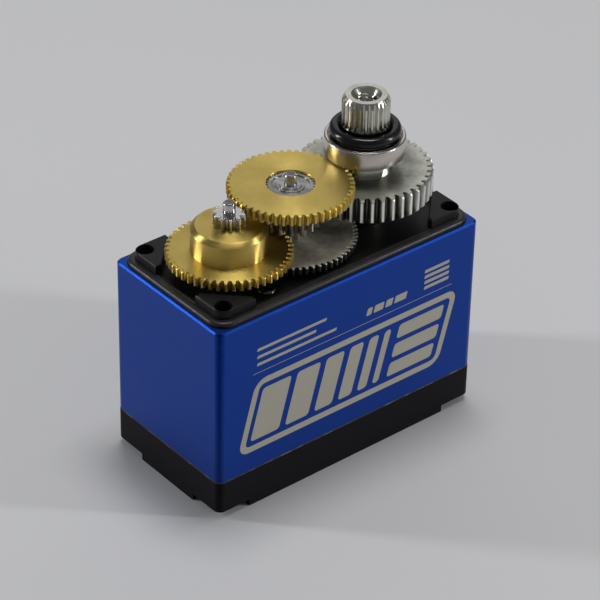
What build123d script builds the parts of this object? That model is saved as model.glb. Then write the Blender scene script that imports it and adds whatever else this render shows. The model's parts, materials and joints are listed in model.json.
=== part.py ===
"""A standard-size metal-geared servo motor with its gear cover off, so that the gear train stands open.

Frame, in millimetres: the origin is the middle of the base, +Z is up, X runs along the case with the
output shaft towards +X, and Y runs across it. The motor and the second gear share one axis, the first
and third gears share the middle pin, and the output shaft turns the potentiometer below it.
"""

from build123d import *
import math
import os

# ------------------------------------------------------------------ driving dimensions
CASE_LENGTH = 40.7
CASE_WIDTH = 20.5
CASE_EDGE_RADIUS = 1.0
SHELL_INSET = 0.03  # the metal shell is this much smaller all round than the plastic cover
WALL = 1.2

COVER_TOP = 5.2
GASKET_TOP = 5.4
SHELL_TOP = 27.05
TRAY_BOTTOM = 25.55

SCREW_X = 17.6  # the four long case screws, on a 35.2 by 15.1 rectangle
SCREW_Y = 7.55
SCREW_HOLE = 1.1

MOTOR_X = -10.8  # the motor, its pinion and the second gear
MIDDLE_X = -1.5  # the first and third gears
OUTPUT_X = 10.1  # the output shaft, its bearings and the potentiometer

PRESSURE_ANGLE = math.radians(20)
ROOT_DEPTH = 1.25  # dedendum, in modules
ROOT_ROUND = 0.35  # height of the rounded root below the flanks, in modules
TOOTH_THINNING = 0.03  # taken off every tooth for backlash
EDGE_BREAK = 0.08
TRIM = 0.02  # how far a turned blank stands outside the teeth that it trims
PIN_RADIUS = 0.75
PIN_CHAMFER = 0.15
RUNNING_GAP = 0.02  # radial, between a pin and the gear that turns on it

# ------------------------------------------------------------------ the gears
# teeth, module, profile shift, addendum in modules
MOTOR_PINION = (9, 0.26, 0.45, 0.85)
FIRST_WHEEL = (62, 0.26, -0.17, 1.0)
FIRST_PINION = (12, 0.30, 0.30, 0.90)
SECOND_WHEEL = (50, 0.30, -0.30, 1.0)
SECOND_PINION = (11, 0.30, 0.50, 0.85)
THIRD_WHEEL = (50, 0.30, 0.00, 0.80)
THIRD_PINION = (17, 0.40, 0.10, 1.0)
OUTPUT_WHEEL = (41, 0.40, -0.10, 1.0)

# the direction of one tooth of each wheel at rest, in degrees from +X
FIRST_TOOTH = -62.3
SECOND_TOOTH = -138.3
THIRD_TOOTH = -135.1
OUTPUT_TOOTH = -123.2
TOWARDS_MOTOR = 180.0
TOWARDS_OUTPUT = 0.0

# heights of the train, bottom and top
FIRST_WHEEL_Z = (27.95, 28.85)
FIRST_PINION_TOP = 30.40
MOTOR_PINION_Z = (27.70, 28.86)
SECOND_WHEEL_Z = (29.05, 30.25)
SECOND_TIP_CHAMFER = 0.15
SECOND_HUB_TOP = 33.60
SECOND_HUB_RADIUS = 4.68
SECOND_PINION_TOP = 35.35
THIRD_PINION_BOTTOM = 30.55
THIRD_WHEEL_Z = (34.40, 35.78)
THIRD_TIP_CHAMFER = 0.18
INSERT_RADIUS = 2.98
INSERT_RECESS = 0.23
MIDDLE_PIN_TOP = 37.10
SIDE_PIN_Z = (29.00, 36.70)

OUTPUT_WHEEL_Z = (30.70, 33.95)
OUTPUT_TIP_CHAMFER = 0.28
COLLAR_RADIUS = 3.55
UPPER_BEARING_BOTTOM = 35.95
UPPER_BEARING_WIDTH = 2.5
LOWER_BEARING_BOTTOM = 23.3  # pressed in from below, up to the deck
LOWER_BEARING_WIDTH = 3.0
DECK_HOLE = 3.1  # lets the lower journal through
RING_RELIEF = (4.1, 0.2)  # radius and depth, over the lower bearing's inner ring
SPLINE_BOTTOM = 40.30
SHAFT_TOP = 43.95
SPLINE_TEETH = 25
SPLINE_TIP = 2.95
SPLINE_ROOT = 2.62
SPLINE_LEAD_IN = (0.4, 0.7)  # across and along
SHAFT_RADIUS = 3.0
NECK_RADIUS = 2.7
HORN_SCREW_RADIUS = 1.25
HORN_SCREW_DEPTH = 8.0
SINK_RADIUS = 1.87
SINK_DEPTH = 0.7

# ball bearings, 6 by 10
BEARING_OUTER = 5.0
BEARING_BORE = 3.0
OUTER_RACE = 4.3
SHIELD_SEAT = 4.6
SHIELD_DEPTH = 0.3
SHIELD_THICKNESS = 0.12
SHIELD_LIP = 0.27
INNER_RACE = 3.7
BALL_CIRCLE = 4.0
BALL_RADIUS = 0.5
RACE_GROOVE = 0.53
BALL_COUNT = 11

MOTOR_RADIUS = 7.8
MOTOR_BOTTOM = 6.9
MOTOR_CAP_TOP = 8.4
MOTOR_SHAFT = 0.5

POT_RADIUS = 6.0
POT_Z = (18.2, 23.2)
POT_SHAFT = 1.5
KEY_FLAT = 1.0  # from the axis to the flat that keys the shaft into the output shaft
KEY_LENGTH = 2.4

BOARD_Z = (3.3, 4.3)

PARTS = {}


# ------------------------------------------------------------------ basic shapes
def disc(radius, bottom, top, x=0.0, y=0.0):
    """A cylinder standing on z = bottom."""
    solid = Cylinder(radius, top - bottom, align=(Align.CENTER, Align.CENTER, Align.MIN))
    return Pos(x, y, bottom) * solid


def tube(outer, inner, bottom, top, x=0.0, y=0.0):
    return disc(outer, bottom, top, x, y) - disc(inner, bottom - 1, top + 1, x, y)


def block(x_range, y_range, z_range):
    """A box between two limits on each axis."""
    sizes = [high - low for low, high in (x_range, y_range, z_range)]
    corner = Pos(x_range[0], y_range[0], z_range[0])
    return corner * Box(*sizes, align=(Align.MIN, Align.MIN, Align.MIN))


def slab(length, width, radius, bottom, top):
    """A plate with rounded corners, centred on the Z axis."""
    return Pos(0, 0, bottom) * extrude(RectangleRounded(length, width, radius), amount=top - bottom)


def turned(profile, x=0.0, y=0.0):
    """A lathe-turned solid. profile lists (radius, height) corners in order."""
    outline = Polyline(*[(r, 0, z) for r, z in profile], close=True)
    return Pos(x, y, 0) * revolve(make_face(outline), Axis.Z)


def turned_disc(radius, bottom, top, edge, x=0.0, y=0.0):
    """A cylinder with both rims chamfered."""
    profile = [
        (0, bottom),
        (radius - edge, bottom),
        (radius, bottom + edge),
        (radius, top - edge),
        (radius - edge, top),
        (0, top),
    ]
    return turned(profile, x, y)


def corners(x, y):
    """The four corners of a rectangle centred on the origin."""
    return [(sx * x, sy * y) for sx in (-1, 1) for sy in (-1, 1)]


def around(count, radius, start=0.0):
    """Angles in degrees with their points, evenly spaced on a circle."""
    angles = [start + 360 * i / count for i in range(count)]
    return [(a, polar(radius, a)) for a in angles]


def polar(radius, degrees):
    return (radius * math.cos(math.radians(degrees)), radius * math.sin(math.radians(degrees)))


def keep(name, shape):
    """Takes a finished piece under the name of its node."""
    PARTS[name] = shape


# ------------------------------------------------------------------ gear teeth
def involute(angle):
    return math.tan(angle) - angle


def tip_radius(gear):
    teeth, module, shift, addendum = gear
    return module * (teeth / 2 + addendum + shift)


def half_tooth(gear, radius):
    """Half of a tooth's angle at a radius, in degrees."""
    teeth, module, shift, _ = gear
    pitch = module * teeth / 2
    base = pitch * math.cos(PRESSURE_ANGLE)
    width = module * (math.pi / 2 + 2 * shift * math.tan(PRESSURE_ANGLE)) - TOOTH_THINNING
    pressure = math.acos(min(1.0, base / radius))
    return math.degrees(width / (2 * pitch) + involute(PRESSURE_ANGLE) - involute(pressure))


def tooth_edges(gear, centre, pitch_angle):
    """The outline of one tooth and of the root that follows it, counter-clockwise."""
    teeth, module, shift, _ = gear
    tip = tip_radius(gear)
    root = module * (teeth / 2 - ROOT_DEPTH + shift)
    base = module * teeth / 2 * math.cos(PRESSURE_ANGLE)
    start = max(root + ROOT_ROUND * module, base)
    radii = [start + (tip - start) * t for t in (0.0, 0.2, 0.45, 0.72, 1.0)]
    rising = [polar(r, centre - half_tooth(gear, r)) for r in radii]
    falling = [polar(r, centre + half_tooth(gear, r)) for r in reversed(radii)]
    crest = ThreePointArc(rising[-1], polar(tip, centre), falling[0])
    next_foot = polar(start, centre + pitch_angle - half_tooth(gear, start))
    valley = ThreePointArc(falling[-1], polar(root, centre + pitch_angle / 2), next_foot)
    return [Spline(*rising), crest, Spline(*falling), valley]


def toothed(gear, tooth_angle, z_range, x, edge=EDGE_BREAK):
    """A gear cut from a turned blank, with one tooth centred on tooth_angle and its tips chamfered."""
    teeth = gear[0]
    pitch_angle = 360 / teeth
    bottom, top = z_range
    edges = []
    for i in range(teeth):
        edges += tooth_edges(gear, tooth_angle + i * pitch_angle, pitch_angle)
    body = Pos(x, 0, bottom) * extrude(make_face(edges), amount=top - bottom)
    return body & turned_disc(tip_radius(gear) + TRIM, bottom, top, edge + TRIM, x)


def mate(gear, tooth_angle, other, direction):
    """The tooth angle of a gear that meshes with this one. direction points from this gear to it."""
    turns = (tooth_angle - direction) * gear[0] / 360
    return direction + 180 + (0.5 - turns) * 360 / other[0]


# ------------------------------------------------------------------ case
BLOCK_X = 15.3  # where the solid screw corners begin
BLOCK_Y = 4.9
POCKET_RADIUS = 0.6  # the inner corners of the walls
COVER_FLOOR = 1.2
RELIEF_X = 15.6  # the corners of the underside are cut away from here outwards
RELIEF_Y = 5.15
RELIEF_HEIGHT = 0.92
LEDGE_X = 9.0  # the board's two side ledges
LEDGE_Y = 8.2
NOTCH = (18.0, 2.6, 1.9)  # the lead's notch: start along X, half width, lowest edge
GLAND_PLUG = (2.55, 1.95)  # half width and lowest edge, in the wall
GLAND_FLANGE = (3.4, 1.3)  # half width and lowest edge, inside the wall
GLAND_FLANGE_DEPTH = 1.0
LEAD_HEIGHT = 3.5
LEAD_PASSAGE = (1.3, 3.9, 0.6)  # height, width and corner radius
GASKET_INSET = 0.06
RIM_CHAMFER = 0.2
TRAY_RECESS = (39.7, 19.5, 2.35)
POT_POCKET = 7.2


def case_blocks(bottom, top):
    """Solid corners that carry the long screws."""
    outline = slab(CASE_LENGTH - 2, CASE_WIDTH - 2, 0.9, bottom, top)
    cross = block((-BLOCK_X, BLOCK_X), (-CASE_WIDTH, CASE_WIDTH), (bottom - 1, top + 1))
    cross += block((-CASE_LENGTH, CASE_LENGTH), (-BLOCK_Y, BLOCK_Y), (bottom - 1, top + 1))
    return outline - cross


def inside_walls(bottom, top):
    return slab(CASE_LENGTH - 2 * WALL, CASE_WIDTH - 2 * WALL, POCKET_RADIUS, bottom, top)


def screw_holes(bottom, top):
    holes = [disc(SCREW_HOLE, bottom, top, x, y) for x, y in corners(SCREW_X, SCREW_Y)]
    return Part() + holes


def bottom_cover():
    """The moulded base: a shallow tub with screw corners, board ledges and a notch for the lead."""
    body = slab(CASE_LENGTH, CASE_WIDTH, CASE_EDGE_RADIUS, 0, COVER_TOP)
    body -= inside_walls(COVER_FLOOR, COVER_TOP + 1)
    body += case_blocks(COVER_FLOOR - 0.5, COVER_TOP)
    for sx in (-1, 1):
        for sy in (-1, 1):
            x_range = sorted((sx * RELIEF_X, sx * CASE_LENGTH))
            y_range = sorted((sy * RELIEF_Y, sy * CASE_WIDTH))
            body -= block(x_range, y_range, (-1, RELIEF_HEIGHT))
    for side in (-1, 1):
        ledge = sorted((side * LEDGE_Y, side * (CASE_WIDTH / 2 - WALL)))
        body += block((-LEDGE_X, LEDGE_X), ledge, (COVER_FLOOR, BOARD_Z[0]))
    body -= screw_holes(-1, COVER_TOP + 1)
    start, half_width, lowest = NOTCH
    return body - block((start, CASE_LENGTH), (-half_width, half_width), (lowest, COVER_TOP + 1))


def cable_gland():
    """The rubber gland in the +X end, with its flat passage empty."""
    wall_inside = CASE_LENGTH / 2 - WALL
    plug_half, plug_bottom = GLAND_PLUG
    flange_half, flange_bottom = GLAND_FLANGE
    body = block((wall_inside, CASE_LENGTH / 2), (-plug_half, plug_half), (plug_bottom, COVER_TOP))
    flange_x = (wall_inside - GLAND_FLANGE_DEPTH, wall_inside)
    body += block(flange_x, (-flange_half, flange_half), (flange_bottom, COVER_TOP))
    passage = Pos(CASE_LENGTH / 2, 0, LEAD_HEIGHT) * Rot(0, 90, 0)
    return body - passage * extrude(RectangleRounded(*LEAD_PASSAGE), amount=3, both=True)


def bottom_gasket():
    length, width = CASE_LENGTH - GASKET_INSET, CASE_WIDTH - GASKET_INSET
    sheet = slab(length, width, CASE_EDGE_RADIUS, COVER_TOP, GASKET_TOP)
    sheet -= inside_walls(COVER_TOP - 1, GASKET_TOP + 1)
    return sheet + case_blocks(COVER_TOP, GASKET_TOP) - screw_holes(COVER_TOP - 1, GASKET_TOP + 1)


def middle_case():
    """The metal shell: a straight tube with screw corners and a rebate for the gear tray."""
    length, width = CASE_LENGTH - 2 * SHELL_INSET, CASE_WIDTH - 2 * SHELL_INSET
    body = slab(length, width, CASE_EDGE_RADIUS, GASKET_TOP, SHELL_TOP)
    body = chamfer(body.faces().sort_by(Axis.Z)[-1].edges(), RIM_CHAMFER)
    body -= inside_walls(GASKET_TOP - 1, SHELL_TOP + 1)
    posts = case_blocks(GASKET_TOP, TRAY_BOTTOM)
    posts -= disc(MOTOR_RADIUS + 0.35, 0, SHELL_TOP, MOTOR_X)
    posts -= disc(POT_POCKET, 0, SHELL_TOP, OUTPUT_X)
    body += posts
    body -= slab(*TRAY_RECESS, TRAY_BOTTOM, SHELL_TOP + 1)
    return body - screw_holes(0, SHELL_TOP + 1)


# ------------------------------------------------------------------ gear tray
TRAY_FLANGE = (39.6, 19.4, 2.3)
SEAL_WIDTH = 0.9
RAIL_WIDTH = 0.45
RAIL_TOP = 27.70
BOSS_TOP = 28.85
MOTOR_SCREW_RADIUS = 6.29
MOTOR_SCREW_ANGLE = -83.2
MOTOR_SCREW_HEAD = (1.1, 0.5)  # radius and height
MOTOR_SCREW_SHANK = 0.75
CROSS_SLOT = (1.3, 0.28, 0.6)
CROSS_TURN = 25
SEAL_HEIGHT = 0.62
SEAL_ROUND = 0.42
PIN_DEPTH = 2.0  # how far the middle pin and its boss reach below the deck
PIN_BOSS = 1.2
POT_SKIRT = (7.0, 17.8)  # radius and lowest edge
MOTOR_NOSE_HOLE = 3.0


def motor_screw_points():
    """The two motor screws, opposite each other about the motor's axis."""
    points = [polar(MOTOR_SCREW_RADIUS, MOTOR_SCREW_ANGLE + turn) for turn in (0, 180)]
    return [(MOTOR_X + x, y) for x, y in points]


def screw_boss(side_x, side_y):
    """A raised corner with a cut-off inner side, where a case screw comes up."""
    outer_x, outer_y = 18.88, 8.78
    inner_x, inner_y = 13.7, 3.8
    bevel_x, bevel_y, rounding = 0.9, 0.7, 1.4
    points = [
        (outer_x, outer_y),
        (inner_x, outer_y),
        (inner_x, outer_y - bevel_y),
        (outer_x - bevel_x, inner_y),
        (outer_x, inner_y),
    ]
    outline = Polygon(*[(side_x * x, side_y * y) for x, y in points], align=None)
    outline = fillet(outline.vertices().sort_by_distance((side_x * 40, side_y * 40, 0))[0], rounding)
    boss = Pos(0, 0, SHELL_TOP) * extrude(outline, amount=BOSS_TOP - SHELL_TOP, dir=(0, 0, 1))
    return chamfer(boss.faces().sort_by(Axis.Z)[-1].edges(), 0.12)


def gear_tray():
    """The plastic deck under the gears: it holds the motor, the middle pin and the lower bearing."""
    length, width, radius = TRAY_FLANGE
    body = slab(length, width, radius, TRAY_BOTTOM, SHELL_TOP)
    rail_length, rail_width = length - 2 * SEAL_WIDTH, width - 2 * SEAL_WIDTH
    rail = slab(rail_length, rail_width, radius - SEAL_WIDTH, SHELL_TOP, RAIL_TOP)
    rail = chamfer(rail.faces().sort_by(Axis.Z)[-1].edges(), 0.1)
    inside = 2 * RAIL_WIDTH
    rail -= slab(rail_length - inside, rail_width - inside, 1.0, SHELL_TOP - 1, RAIL_TOP + 1)
    body += rail
    for x, y in corners(1, 1):
        body += screw_boss(x, y)
    pin_boss = disc(PIN_BOSS, TRAY_BOTTOM - PIN_DEPTH, TRAY_BOTTOM, MIDDLE_X)
    skirt_radius, skirt_bottom = POT_SKIRT
    skirt = tube(skirt_radius, POT_RADIUS, skirt_bottom, POT_Z[1], OUTPUT_X)
    seat = disc(skirt_radius, POT_Z[1], TRAY_BOTTOM, OUTPUT_X)
    body += [pin_boss, skirt, seat]
    bearing_top = LOWER_BEARING_BOTTOM + LOWER_BEARING_WIDTH
    relief_radius, relief_depth = RING_RELIEF
    body -= disc(BEARING_OUTER, POT_Z[1] - 1, bearing_top, OUTPUT_X)
    body -= disc(relief_radius, bearing_top - 1, bearing_top + relief_depth, OUTPUT_X)
    body -= disc(DECK_HOLE, POT_Z[1], SHELL_TOP + 1, OUTPUT_X)
    under = TRAY_BOTTOM - PIN_DEPTH - 1
    body -= disc(PIN_RADIUS, under, SHELL_TOP + 1, MIDDLE_X)
    body -= disc(MOTOR_NOSE_HOLE, under, SHELL_TOP + 1, MOTOR_X)
    for x, y in motor_screw_points():
        body -= disc(MOTOR_SCREW_SHANK + 0.1, under, SHELL_TOP + 1, x, y)
    return body - screw_holes(under, BOSS_TOP + 1)


def tray_seal():
    """The round-topped rubber seal in the step outside the tray's rail."""
    length, width, radius = TRAY_FLANGE
    top = SHELL_TOP + SEAL_HEIGHT
    outer = slab(length, width, radius, SHELL_TOP, top)
    outer = fillet(outer.faces().sort_by(Axis.Z)[-1].edges(), SEAL_ROUND)
    inner_length, inner_width = length - 2 * SEAL_WIDTH, width - 2 * SEAL_WIDTH
    return outer - slab(inner_length, inner_width, radius - SEAL_WIDTH, SHELL_TOP - 1, top + 1)


def build_case():
    keep("bottom_cover", bottom_cover())
    keep("cable_gland", cable_gland())
    keep("bottom_gasket", bottom_gasket())
    keep("middle_case", middle_case())
    keep("gear_tray", gear_tray())
    keep("tray_seal", tray_seal())
    pin_bottom = TRAY_BOTTOM - PIN_DEPTH
    keep("middle_pin", turned_disc(PIN_RADIUS, pin_bottom, MIDDLE_PIN_TOP, PIN_CHAMFER, MIDDLE_X))
    keep("side_pin", turned_disc(PIN_RADIUS, *SIDE_PIN_Z, PIN_CHAMFER, MOTOR_X))


# ------------------------------------------------------------------ motor
BUSH_RADIUS = 1.8
NOSE_TOP = 26.95
CAN_WALL = 0.5
CAN_FACE = 0.8
SPIGOT_HEIGHT = 1.6
MAGNET_RADII = (6.1, 7.3)
MAGNET_Z = (10.4, 23.4)
MAGNET_GAP = 2.2  # half of the gap between the two arcs
BRUSH_INNER = 1.75
BRUSH_HALF_WIDTH = 0.6
BRUSH_Z = (9.1, 9.7)
TERMINAL_Y = (4.2, 4.8)
TERMINAL_HALF_WIDTH = 0.9
TERMINAL_Z = (2.7, 9.9)
ARMATURE_RADIUS = 5.6
ARMATURE_HUB = 1.6
ARMATURE_Z = (11.5, 22.0)
SHOE_DEPTH = 1.0
SHOE_GAP = 6  # degrees, half of the slot between two poles
STEM_HALF_WIDTH = 0.8
COIL_X = (1.9, 4.3)
COIL_HALF_WIDTH = 1.35
COIL_OVERHANG = 0.9
POLES = 5
COMMUTATOR_Z = (8.6, 10.3)
SEGMENT_SLOT = (1.2, 0.1)  # inner end and half width


def motor_can():
    body = turned_disc(MOTOR_RADIUS, MOTOR_CAP_TOP, TRAY_BOTTOM, 0.25, MOTOR_X)
    body += disc(BUSH_RADIUS + 1.2, TRAY_BOTTOM, NOSE_TOP, MOTOR_X)
    body -= disc(MOTOR_RADIUS - CAN_WALL, MOTOR_CAP_TOP - 1, TRAY_BOTTOM - CAN_FACE, MOTOR_X)
    body -= disc(BUSH_RADIUS, MOTOR_CAP_TOP, NOSE_TOP + 1, MOTOR_X)
    for x, y in motor_screw_points():
        body -= disc(MOTOR_SCREW_SHANK, MAGNET_Z[1], TRAY_BOTTOM + 1, x, y)
    return body


def both_sides(y_limits, half_width, z_range):
    """Two upright strips on the motor's axis, one on each side of it along Y."""
    strips = Part()
    for side in (-1, 1):
        y_range = sorted(side * y for y in y_limits)
        strips += block((MOTOR_X - half_width, MOTOR_X + half_width), y_range, z_range)
    return strips


def terminal_tabs(bottom, top):
    return both_sides(TERMINAL_Y, TERMINAL_HALF_WIDTH, (bottom, top))


def motor_end_cap():
    """The plastic end of the motor, with a spigot in the can and a pocket for the brushes."""
    spigot = MOTOR_RADIUS - CAN_WALL
    body = disc(MOTOR_RADIUS - 0.2, MOTOR_BOTTOM, MOTOR_CAP_TOP, MOTOR_X)
    body += disc(spigot, MOTOR_CAP_TOP, MOTOR_CAP_TOP + SPIGOT_HEIGHT, MOTOR_X)
    body -= disc(spigot - 1.0, MOTOR_BOTTOM + 1.0, MOTOR_CAP_TOP + 2, MOTOR_X)
    body -= disc(BUSH_RADIUS, 0, MOTOR_CAP_TOP, MOTOR_X)
    return body - terminal_tabs(0, MOTOR_CAP_TOP)


def motor_magnets():
    """Two arc magnets on the inside of the can."""
    inner, outer = MAGNET_RADII
    ring = tube(outer, inner, *MAGNET_Z, MOTOR_X)
    gap = block((MOTOR_X - MAGNET_GAP, MOTOR_X + MAGNET_GAP), (-outer, outer), MAGNET_Z)
    return ring - gap


def motor_brushes():
    """Two carbon strips that reach from their terminals to the commutator."""
    return both_sides((BRUSH_INNER, TERMINAL_Y[0]), BRUSH_HALF_WIDTH, BRUSH_Z)


def motor_terminals():
    """Two tinned tabs from the brushes down to the board."""
    return terminal_tabs(*TERMINAL_Z)


def motor_screws():
    """Two small pan-head screws with a cross recess that hold the motor to the tray."""
    head_radius, head_top = MOTOR_SCREW_HEAD[0], SHELL_TOP + MOTOR_SCREW_HEAD[1]
    group = Part()
    for x, y in motor_screw_points():
        head = turned_disc(head_radius, SHELL_TOP, head_top, 0.2, x, y)
        head += disc(MOTOR_SCREW_SHANK, TRAY_BOTTOM - 1.4, SHELL_TOP, x, y)
        for turn in (CROSS_TURN, CROSS_TURN + 90):
            head -= Pos(x, y, head_top) * Rot(0, 0, turn) * Box(*CROSS_SLOT)
        group += head
    return group


def armature_segment():
    """The outline of one pole, with a waist for its coil."""
    shoe = tube(ARMATURE_RADIUS, ARMATURE_RADIUS - SHOE_DEPTH, *ARMATURE_Z)
    half = math.radians(180 / POLES - SHOE_GAP)
    reach = 2 * ARMATURE_RADIUS
    wedge_points = [(0, 0), (reach, -reach * math.tan(half)), (reach, reach * math.tan(half))]
    wedge = Pos(0, 0, ARMATURE_Z[0]) * extrude(
        Polygon(*wedge_points, align=None), amount=ARMATURE_Z[1] - ARMATURE_Z[0]
    )
    stem_end = ARMATURE_RADIUS - SHOE_DEPTH / 2
    stem = block((0.3, stem_end), (-STEM_HALF_WIDTH, STEM_HALF_WIDTH), ARMATURE_Z)
    return (shoe & wedge) + stem


def rotor_core():
    body = disc(ARMATURE_HUB, *ARMATURE_Z)
    for angle, _ in around(POLES, 1.0):
        body += Rot(0, 0, angle) * armature_segment()
    body -= disc(MOTOR_SHAFT, 0, 30)
    return Pos(MOTOR_X, 0, 0) * body


def rotor_windings():
    """One coil around the waist of each pole."""
    bottom, top = ARMATURE_Z
    coil_z = (bottom - COIL_OVERHANG, top + COIL_OVERHANG)
    coil = block(COIL_X, (-COIL_HALF_WIDTH, COIL_HALF_WIDTH), coil_z)
    coil -= block((0, ARMATURE_RADIUS), (-STEM_HALF_WIDTH, STEM_HALF_WIDTH), ARMATURE_Z)
    coils = Part()
    for angle, _ in around(POLES, 1.0):
        coils += Rot(0, 0, angle) * coil
    return Pos(MOTOR_X, 0, 0) * coils


def commutator():
    body = tube(ARMATURE_HUB, MOTOR_SHAFT, *COMMUTATOR_Z)
    start, half_width = SEGMENT_SLOT
    for angle, _ in around(POLES, 1.0, start=180 / POLES):
        body -= Rot(0, 0, angle) * block((start, 2.0), (-half_width, half_width), COMMUTATOR_Z)
    return Pos(MOTOR_X, 0, 0) * body


def build_motor():
    keep("motor_can", motor_can())
    keep("motor_end_cap", motor_end_cap())
    keep("motor_magnets", motor_magnets())
    bush_bore = MOTOR_SHAFT + RUNNING_GAP
    keep("motor_front_bush", tube(BUSH_RADIUS, bush_bore, TRAY_BOTTOM - 0.8, NOSE_TOP, MOTOR_X))
    keep("motor_rear_bush", tube(BUSH_RADIUS, bush_bore, MOTOR_BOTTOM, MOTOR_CAP_TOP - 0.3, MOTOR_X))
    keep("motor_brushes", motor_brushes())
    keep("motor_terminals", motor_terminals())
    keep("motor_screws", motor_screws())
    keep("rotor_core", rotor_core())
    keep("rotor_windings", rotor_windings())
    keep("commutator", commutator())
    keep("motor_shaft", turned_disc(MOTOR_SHAFT, MOTOR_BOTTOM, MOTOR_PINION_Z[1] + 0.02, 0.1, MOTOR_X))
    angle = mate(FIRST_WHEEL, FIRST_TOOTH, MOTOR_PINION, TOWARDS_MOTOR)
    pinion = toothed(MOTOR_PINION, angle, MOTOR_PINION_Z, MOTOR_X)
    keep("motor_pinion", pinion - disc(MOTOR_SHAFT, 20, 30, MOTOR_X))


# ------------------------------------------------------------------ gear train
FIRST_SPIGOT = 1.3
SECOND_SPIGOT = 1.4
SECOND_SPIGOT_BOTTOM = SECOND_WHEEL_Z[0] + 1.0
HUB_CHAMFER = 0.55
KNURL_NOTCHES = 30
KNURL_NOTCH = (0.5, 0.26, 0.5)
FACE_GROOVE = (2.35, 1.75, 0.12)  # outer and inner radius, depth
FACE_RING = (1.35, 0.12)  # radius and height


def pin_bore(x):
    """The bore of a gear that turns on a fixed pin."""
    return disc(PIN_RADIUS + RUNNING_GAP, 0, SHAFT_TOP, x)


def build_first_gear():
    """The fine steel wheel that the motor drives, pressed on its pinion."""
    bottom, top = FIRST_WHEEL_Z
    wheel = toothed(FIRST_WHEEL, FIRST_TOOTH, FIRST_WHEEL_Z, MIDDLE_X)
    keep("first_gear_wheel", wheel - disc(FIRST_SPIGOT, bottom - 1, top + 1, MIDDLE_X))
    angle = mate(SECOND_WHEEL, SECOND_TOOTH, FIRST_PINION, TOWARDS_OUTPUT)
    pinion = toothed(FIRST_PINION, angle, (top, FIRST_PINION_TOP), MIDDLE_X)
    pinion += disc(FIRST_SPIGOT, SHELL_TOP + 0.1, top, MIDDLE_X)
    keep("first_gear_pinion", pinion - pin_bore(MIDDLE_X))


def build_second_gear():
    """The brass wheel over the motor, with a tall chamfered hub and a steel pinion pressed in it."""
    top = SECOND_WHEEL_Z[1]
    wheel = toothed(SECOND_WHEEL, SECOND_TOOTH, SECOND_WHEEL_Z, MOTOR_X, SECOND_TIP_CHAMFER)
    hub = [
        (0, top - 0.5),
        (SECOND_HUB_RADIUS, top - 0.5),
        (SECOND_HUB_RADIUS, SECOND_HUB_TOP - HUB_CHAMFER),
        (SECOND_HUB_RADIUS - HUB_CHAMFER, SECOND_HUB_TOP),
        (0, SECOND_HUB_TOP),
    ]
    wheel += turned(hub, MOTOR_X)
    wheel -= disc(SECOND_SPIGOT, SECOND_SPIGOT_BOTTOM, SECOND_HUB_TOP + 1, MOTOR_X)
    keep("second_gear_wheel", wheel - pin_bore(MOTOR_X))
    angle = mate(THIRD_WHEEL, THIRD_TOOTH, SECOND_PINION, TOWARDS_MOTOR)
    pinion = toothed(SECOND_PINION, angle, (SECOND_HUB_TOP, SECOND_PINION_TOP), MOTOR_X)
    pinion += disc(SECOND_SPIGOT, SECOND_SPIGOT_BOTTOM, SECOND_HUB_TOP, MOTOR_X)
    keep("second_gear_pinion", pinion - pin_bore(MOTOR_X))


def serrated_insert(bottom, top, x):
    """The knurled steel spigot in the third gear, with turned rings on its face."""
    body = disc(INSERT_RADIUS, bottom, top, x)
    for angle, (dx, dy) in around(KNURL_NOTCHES, INSERT_RADIUS):
        body -= Pos(x + dx, dy, top) * Rot(0, 0, angle) * Box(*KNURL_NOTCH)
    outer, inner, depth = FACE_GROOVE
    body -= tube(outer, inner, top - depth, top + 1, x)
    ring_radius, ring_height = FACE_RING
    return body + tube(ring_radius, PIN_RADIUS, top, top + ring_height, x)


def build_third_gear():
    """The brass wheel at the top of the middle pin, pressed on the pinion that drives the output."""
    bottom, top = THIRD_WHEEL_Z
    wheel = toothed(THIRD_WHEEL, THIRD_TOOTH, THIRD_WHEEL_Z, MIDDLE_X, THIRD_TIP_CHAMFER)
    keep("third_gear_wheel", wheel - disc(INSERT_RADIUS, bottom - 1, top + 1, MIDDLE_X))
    angle = mate(OUTPUT_WHEEL, OUTPUT_TOOTH, THIRD_PINION, TOWARDS_MOTOR)
    pinion = toothed(THIRD_PINION, angle, (THIRD_PINION_BOTTOM, bottom), MIDDLE_X)
    pinion += serrated_insert(bottom, top - INSERT_RECESS, MIDDLE_X)
    keep("third_gear_pinion", pinion - pin_bore(MIDDLE_X))


# ------------------------------------------------------------------ output shaft
SPLINE_FOOT = 0.42  # half of a spline's width in pitches, at its foot and at its crest
SPLINE_CREST = 0.13
NECK_TAPER = 0.25
SHOULDER = 0.3


def spline_blank():
    """The fine splines at the end of the shaft, with a long lead-in chamfer."""
    pitch = 360 / SPLINE_TEETH
    points = []
    for i in range(SPLINE_TEETH):
        centre = i * pitch
        points.append(polar(SPLINE_ROOT, centre - SPLINE_FOOT * pitch))
        points.append(polar(SPLINE_TIP, centre - SPLINE_CREST * pitch))
        points.append(polar(SPLINE_TIP, centre + SPLINE_CREST * pitch))
        points.append(polar(SPLINE_ROOT, centre + SPLINE_FOOT * pitch))
    low = SPLINE_BOTTOM - 0.5
    teeth = Pos(0, 0, low) * extrude(Polygon(*points, align=None), amount=SHAFT_TOP - low)
    lead_in = [
        (0, low),
        (SPLINE_TIP, low),
        (SPLINE_TIP, SHAFT_TOP - SPLINE_LEAD_IN[1]),
        (SPLINE_TIP - SPLINE_LEAD_IN[0], SHAFT_TOP),
        (0, SHAFT_TOP),
    ]
    return teeth & turned(lead_in)


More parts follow.
